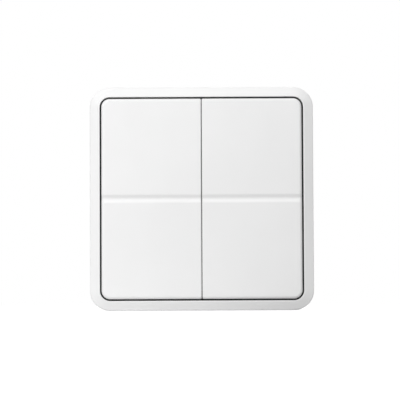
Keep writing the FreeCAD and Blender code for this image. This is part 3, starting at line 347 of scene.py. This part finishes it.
def chip_ceramic(name):
    """Small capacitors: speckled brown ceramic between tinned end caps."""
    tin, pale_brown, dark_brown = grey(0.7), (0.42, 0.29, 0.17, 1), (0.33, 0.21, 0.12, 1)
    cap_length, speckle_size, speckle_depth = 0.0003, 0.0002, 0.00001
    tree = Shader(name)
    low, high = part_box("capacitors")
    middle, reach = (low.x + high.x) / 2, (high.x - low.x) / 2 - cap_length
    off_middle = tree.math("ABSOLUTE", tree.math("SUBTRACT", tree.axis("X"), middle))
    capped = tree.math("GREATER_THAN", off_middle, reach)
    speckle = tree.ramp(tree.noise(speckle_size, roughness=0.7), *NOISE_WIDE)
    return tree.surface(
        Base_Color=tree.mix(capped, tree.mix(speckle, pale_brown, dark_brown), tin),
        Metallic=capped,
        Roughness=tree.ramp(speckle, 0.0, 1.0, start=0.38, end=0.5),
        Normal=tree.bump(speckle, speckle_depth, strength=0.6),
    )


def closed_foam(name):
    """Closed-cell foam tape: open bubbles on its cut sides, and tacky faces with a woven print."""
    colour, painted_bubble_shade, mottle_pale, mottle_dark = (0.6, 0.6, 0.58, 1), 0.62, 1.08, 0.96
    bubble_size, bubble_rim, bubble_depth = 0.00035, (0.1, 0.6), 0.00012
    weave_pitch, weave_depth, mottle_size = 0.0009, 0.00002, 0.002
    side_to_face, dull, tacky = (0.6, 0.95), 0.95, 0.42
    tree = Shader(name)
    face = tree.ramp(tree.facing("Y"), *side_to_face)
    bubbles = tree.cells(bubble_size)["Distance"]
    # The bubbles' hollows are painted darker: painted shade in them, over the bump that sinks them
    sides = tree.mix(tree.ramp(bubbles, *bubble_rim), shaded(colour, painted_bubble_shade), colour)
    mottle = tree.ramp(tree.noise(mottle_size, detail=4, roughness=0.6), *NOISE_NARROW)
    mottled = tree.mix(mottle, shaded(colour, mottle_pale), shaded(colour, mottle_dark))
    weave = tree.math("MULTIPLY", *[tree.wave(tree.axis(letter), weave_pitch) for letter in "XZ"])
    side_height = tree.math("MULTIPLY", bubbles, tree.math("SUBTRACT", 1.0, face))
    side_relief = tree.bump(side_height, bubble_depth)
    face_height = tree.math("MULTIPLY", weave, face)
    return tree.surface(
        Base_Color=tree.mix(face, sides, mottled),
        Roughness=tree.ramp(face, 0.0, 1.0, start=dull, end=tacky),
        Normal=tree.bump(face_height, weave_depth, strength=0.7, normal=side_relief),
    )


def paint(material, *names):
    """Gives the CAD nodes of these names the material in place of their own."""
    for name in names:
        slots = NODES[name].data.materials
        slots.clear()
        slots.append(material)


# Pieces with a modelled mesh

def new_piece(name, mesh, material):
    """An object from a bmesh, with its outside facing outwards and smooth except at its sharp edges."""
    bmesh.ops.recalc_face_normals(mesh, faces=mesh.faces)
    data = bpy.data.meshes.new(name)
    mesh.to_mesh(data)
    mesh.free()
    data.shade_smooth()
    data.set_sharp_from_angle(angle=SHARP_ANGLE)
    data.materials.append(material)
    piece = bpy.data.objects.new(name, data)
    bpy.context.scene.collection.objects.link(piece)
    return piece


def skin(mesh, rings):
    """Closed surface through rings of points, each ring in the same order, with both ends capped."""
    rings = [[mesh.verts.new(point) for point in ring] for ring in rings]
    for ring, following in zip(rings, rings[1:]):
        for i in range(len(ring)):
            j = (i + 1) % len(ring)
            mesh.faces.new((ring[i], ring[j], following[j], following[i]))
    for ring in (rings[0], rings[-1]):
        mesh.faces.new(ring)


def rounded_square(half, corner, steps=10):
    """Points round a square with rounded corners, as (across, up)."""
    points = []
    for quarter in range(4):
        turn = Matrix.Rotation(math.pi / 2 * quarter, 2)
        for step in range(steps + 1):
            angle = math.pi / 2 * step / steps
            centre = Vector((half - corner, half - corner))
            points.append(turn @ (centre + corner * Vector((math.cos(angle), math.sin(angle)))))
    return points


def foam_pad():
    """The adhesive pad, die-cut from foam tape: its sides bulge a little between its two flat faces."""
    corner, bulge, layers = 0.004, 0.00022, 8
    low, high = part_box("adhesive_pad")
    half = (high.x - low.x) / 2
    mesh, rings = bmesh.new(), []
    for layer in range(layers + 1):
        share = layer / layers
        inset = bulge * (2 * share - 1) ** 2
        depth = low.y + (high.y - low.y) * share
        rings.append([(across, depth, up) for across, up in rounded_square(half - inset, corner - inset)])
    skin(mesh, rings)
    pad = new_piece("foam_pad", mesh, closed_foam("foam"))
    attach(pad, "base")
    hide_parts("adhesive_pad")


def leaf_spring(node, material):
    """A bowed leaf in a switch, with its feet on the switch's floor and its crest under the plunger."""
    sheet, foot, crest, steps = 0.00012, 0.0006, 0.0006, 60
    low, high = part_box(node)
    middle, half = (low.x + high.x) / 2, (high.x - low.x) / 2

    def centre_line(across):
        share = min(max((half - foot - abs(across)) / (half - foot - crest), 0), 1)
        rise = share * share * (3 - 2 * share)
        return Vector((middle + across, high.y - sheet / 2 - rise * (high.y - low.y - sheet)))

    mesh, rings, nudge = bmesh.new(), [], half / steps
    for step in range(steps + 1):
        across = half * (2 * step / steps - 1)
        ahead = centre_line(across + nudge) - centre_line(across - nudge)
        side = Vector((-ahead.y, ahead.x)).normalized() * sheet / 2
        back, front = centre_line(across) + side, centre_line(across) - side
        rings.append([(*back, low.z), (*back, high.z), (*front, high.z), (*front, low.z)])
    skin(mesh, rings)
    leaf = new_piece(node.replace("switch_spring", "leaf"), mesh, material)
    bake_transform(leaf)
    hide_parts(node)


def screw_profile(face, end, head):
    """Outline of a pan-head screw, from the end of its ridged shank to its face, as (depth, radius)."""
    head_height, rim_height, flat, dome_steps = 0.0009, 0.00045, 0.0012, 5
    shank, root, thread_pitch, tip, lead_in = 0.001, 0.00082, 0.00045, 0.0005, 0.0004
    neck, thread_end = face + head_height, end - lead_in
    profile = [(end, tip), (thread_end, root)]
    for ridge in range(int((thread_end - neck) / thread_pitch)):
        crest = thread_end - thread_pitch * (ridge + 0.5)
        profile += [(crest, shank), (crest - thread_pitch / 2, root)]
    profile += [(neck, root), (neck, head)]
    for step in range(dome_steps + 1):
        rise = math.pi / 2 * step / dome_steps
        depth = neck - rim_height - (head_height - rim_height) * math.sin(rise)
        profile.append((depth, head - (head - flat) * (1 - math.cos(rise))))
    return profile


def cross_outline(arm, half_arm, steps=3):
    """Outline of an upright cross, as (angle, radius), with a point at each of its corners."""
    diagonal, corner = math.pi / 4, math.atan2(half_arm, arm)
    octant = [0, corner / 2] + [corner + (diagonal - corner) * step / steps for step in range(steps + 1)]
    quarter = octant + [math.pi / 2 - angle for angle in octant[-2:0:-1]]
    outline = []
    for turn in range(4):
        for angle in quarter:
            less, more = sorted((math.cos(angle), math.sin(angle)))
            radius = min(arm / more, half_arm / less) if less > 0 else arm
            outline.append((turn * math.pi / 2 + angle, radius))
    return outline


def board_screws(material):
    """The board's two pan-head screws, lathed about Y, with a cross recess that narrows inwards."""
    head, arm, half_arm, recess_depth, taper = 0.0019, 0.0011, 0.00028, 0.00055, 0.65
    low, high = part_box("board_screws")
    angles, cross = zip(*cross_outline(arm, half_arm))
    rings = [(depth, [radius] * len(angles)) for depth, radius in screw_profile(low.y, high.y, head)]
    rings += [(low.y, cross), (low.y + recess_depth, [radius * taper for radius in cross])]
    mesh = bmesh.new()
    for across, up in ((high.x - head, high.z - head), (low.x + head, low.z + head)):
        lathed = []
        for depth, radii in rings:
            spokes = zip(radii, angles)
            lathed.append([(across + r * math.cos(a), depth, up + r * math.sin(a)) for r, a in spokes])
        skin(mesh, lathed)
    screws = new_piece("pan_head_screws", mesh, material)
    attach(screws, "base")
    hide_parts("board_screws")


# Stage: a pale floor under the object and soft studio light

def make_floor():
    """A floor with a paler patch that lights the bottom border, clear when looked at from below.

    Where the camera sees it, it glows: a little less than white near the object, so that the shadow
    shows, and white farther off.
    """
    half_side, floor_grey, patch_grey = 3.0, grey(0.4), grey(0.68)
    patch_front, patch_core, patch_edge = 0.01, 0.02, 0.08
    near_glow, glow_start, glow_full = 0.75, 0.1, 0.4
    low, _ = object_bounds()
    height = low.z - FLOOR_DROP
    signs = ((-1, -1), (1, -1), (1, 1), (-1, 1))
    mesh = bpy.data.meshes.new("floor")
    mesh.from_pydata([(x * half_side, y * half_side, height) for x, y in signs], [], [(0, 1, 2, 3)])
    floor = bpy.data.objects.new("floor", mesh)
    bpy.context.scene.collection.objects.link(floor)
    tree = Shader("floor_paint")
    patch_middle = (low.x, low.y - patch_front, height)
    from_patch = tree.add("ShaderNodeVectorMath", {0: tree.place, 1: patch_middle}, operation="DISTANCE")
    from_object = tree.add("ShaderNodeVectorMath", {0: tree.place}, operation="LENGTH")
    past_patch = tree.ramp(from_patch.outputs["Value"], patch_core, patch_edge)
    paper = tree.mix(past_patch, patch_grey, floor_grey)
    lift = tree.ramp(from_object.outputs["Value"], glow_start, glow_full, start=near_glow)
    diffuse = tree.shade("ShaderNodeBsdfDiffuse", Color=paper)
    strength = tree.math("MULTIPLY", tree.seen(), lift)
    glow = tree.shade("ShaderNodeEmission", Color=grey(1.0), Strength=strength)
    upper = tree.add("ShaderNodeAddShader", {0: diffuse, 1: glow}).outputs[0]
    clear = tree.shade("ShaderNodeBsdfTransparent")
    below = tree.add("ShaderNodeNewGeometry").outputs["Backfacing"]
    mesh.materials.append(tree.finish(tree.choice(below, upper, clear)))


def make_world(level, lean):
    """A white background that lights the object only softly, more from the side that lean points to."""
    tree = Shader("studio", world=True)
    direction = {0: tree.coordinates["Generated"], 1: lean}
    share = tree.add("ShaderNodeVectorMath", direction, operation="DOT_PRODUCT").outputs["Value"]
    light = tree.add("ShaderNodeMath", {0: share, 1: level}, operation="ADD", use_clamp=True).outputs[0]
    soft = tree.shade("ShaderNodeBackground", Color=grey(1.0), Strength=light)
    white = tree.shade("ShaderNodeBackground", Color=grey(1.0), Strength=1.0)
    bpy.context.scene.world = tree.finish(tree.choice(tree.seen(), soft, white))


def make_lamp(name, place, aim, size, power):
    """A square lamp that the camera doesn't see."""
    data = bpy.data.lights.new(name, "AREA")
    data.shape = "SQUARE"
    data.size = size
    data.energy = power
    lamp = bpy.data.objects.new(name, data)
    bpy.context.scene.collection.objects.link(lamp)
    lamp.matrix_world = aimed(place, aim)
    lamp.visible_camera = False


make_camera()

# Plastics: name, colour, roughness, size and depth of the grain, and the nodes moulded from it
shell_white, ivory, gap_shade_dark = grey(0.84), (0.7, 0.69, 0.64, 1), (0.03, 0.03, 0.032, 1)
plastics = [
    ("frame_plastic", shell_white, 0.48, 0.0003, 0.00002, ["frame"]),
    ("key_plastic", shell_white, 0.42, 0.00025, 0.000012, ["key_left", "key_right"]),
    # The carrier's near-black is painted shade: it makes the gaps round the keys look dark
    ("carrier_plastic", gap_shade_dark, 0.6, 0.0003, 0.00003, ["key_carrier"]),
    ("switch_plastic", grey(0.02), 0.5, 0.00015, 0.00001, node_names("switch_base")),
    ("plunger_plastic", ivory, 0.35, 0.0002, 0.000006, node_names("switch_plunger")),
]
for name, colour, roughness, grain_size, grain_depth, moulded in plastics:
    paint(moulded_plastic(name, colour, roughness, grain_size, grain_depth), *moulded)
back_white, pins = (0.76, 0.76, 0.75, 1), [(0.034, 0.034, 0.0015), (0.0285, 0.012, 0.0015)]
housing_plastic = moulded_plastic("housing_plastic", back_white, 0.55, 0.0004, 0.00003, pins)
paint(housing_plastic, "rear_housing", "wall_plate")

cover_steel = sheet_metal("cover_steel", grey(0.56), roughness=0.32)
spring_steel = sheet_metal("spring_steel", (0.62, 0.59, 0.52, 1), roughness=0.25, squeeze=(8, 1, 1))
tinned_metal = sheet_metal("tinned_metal", (0.7, 0.7, 0.69, 1), roughness=0.36, squeeze=(1, 1, 1))
screw_steel = sheet_metal("screw_steel", grey(0.5), roughness=0.3, line_size=0.0004, squeeze=(1, 6, 1))
paint(cover_steel, "radio_shield", "crystal", *node_names("switch_cover"))
paint(spring_steel, "battery_clips", "battery_contact")
paint(tinned_metal, "switch_terminals")

paint(solder_mask("board"), "circuit_board", "radio_board")
paint(cell_can("cell"), "coin_cell")
paint(chip_ceramic("ceramic"), "capacitors")

foam_pad()
board_screws(screw_steel)
for node in node_names("switch_spring"):
    leaf_spring(node, spring_steel)

make_floor()
make_world(level=0.4, lean=(0.03, -0.1, 0.26))
front = (0, -0.013, 0)
make_lamp("key_light", (-0.2, -0.4, 0.14), front, size=0.25, power=1.0)
make_lamp("top_light", (0.0, -0.3, 0.35), front, size=0.2, power=0.32)
make_lamp("back_light", (0.2, 0.5, 0.12), (0, 0, 0), size=0.4, power=1.5)

bpy.context.scene.view_settings.view_transform = "Standard"
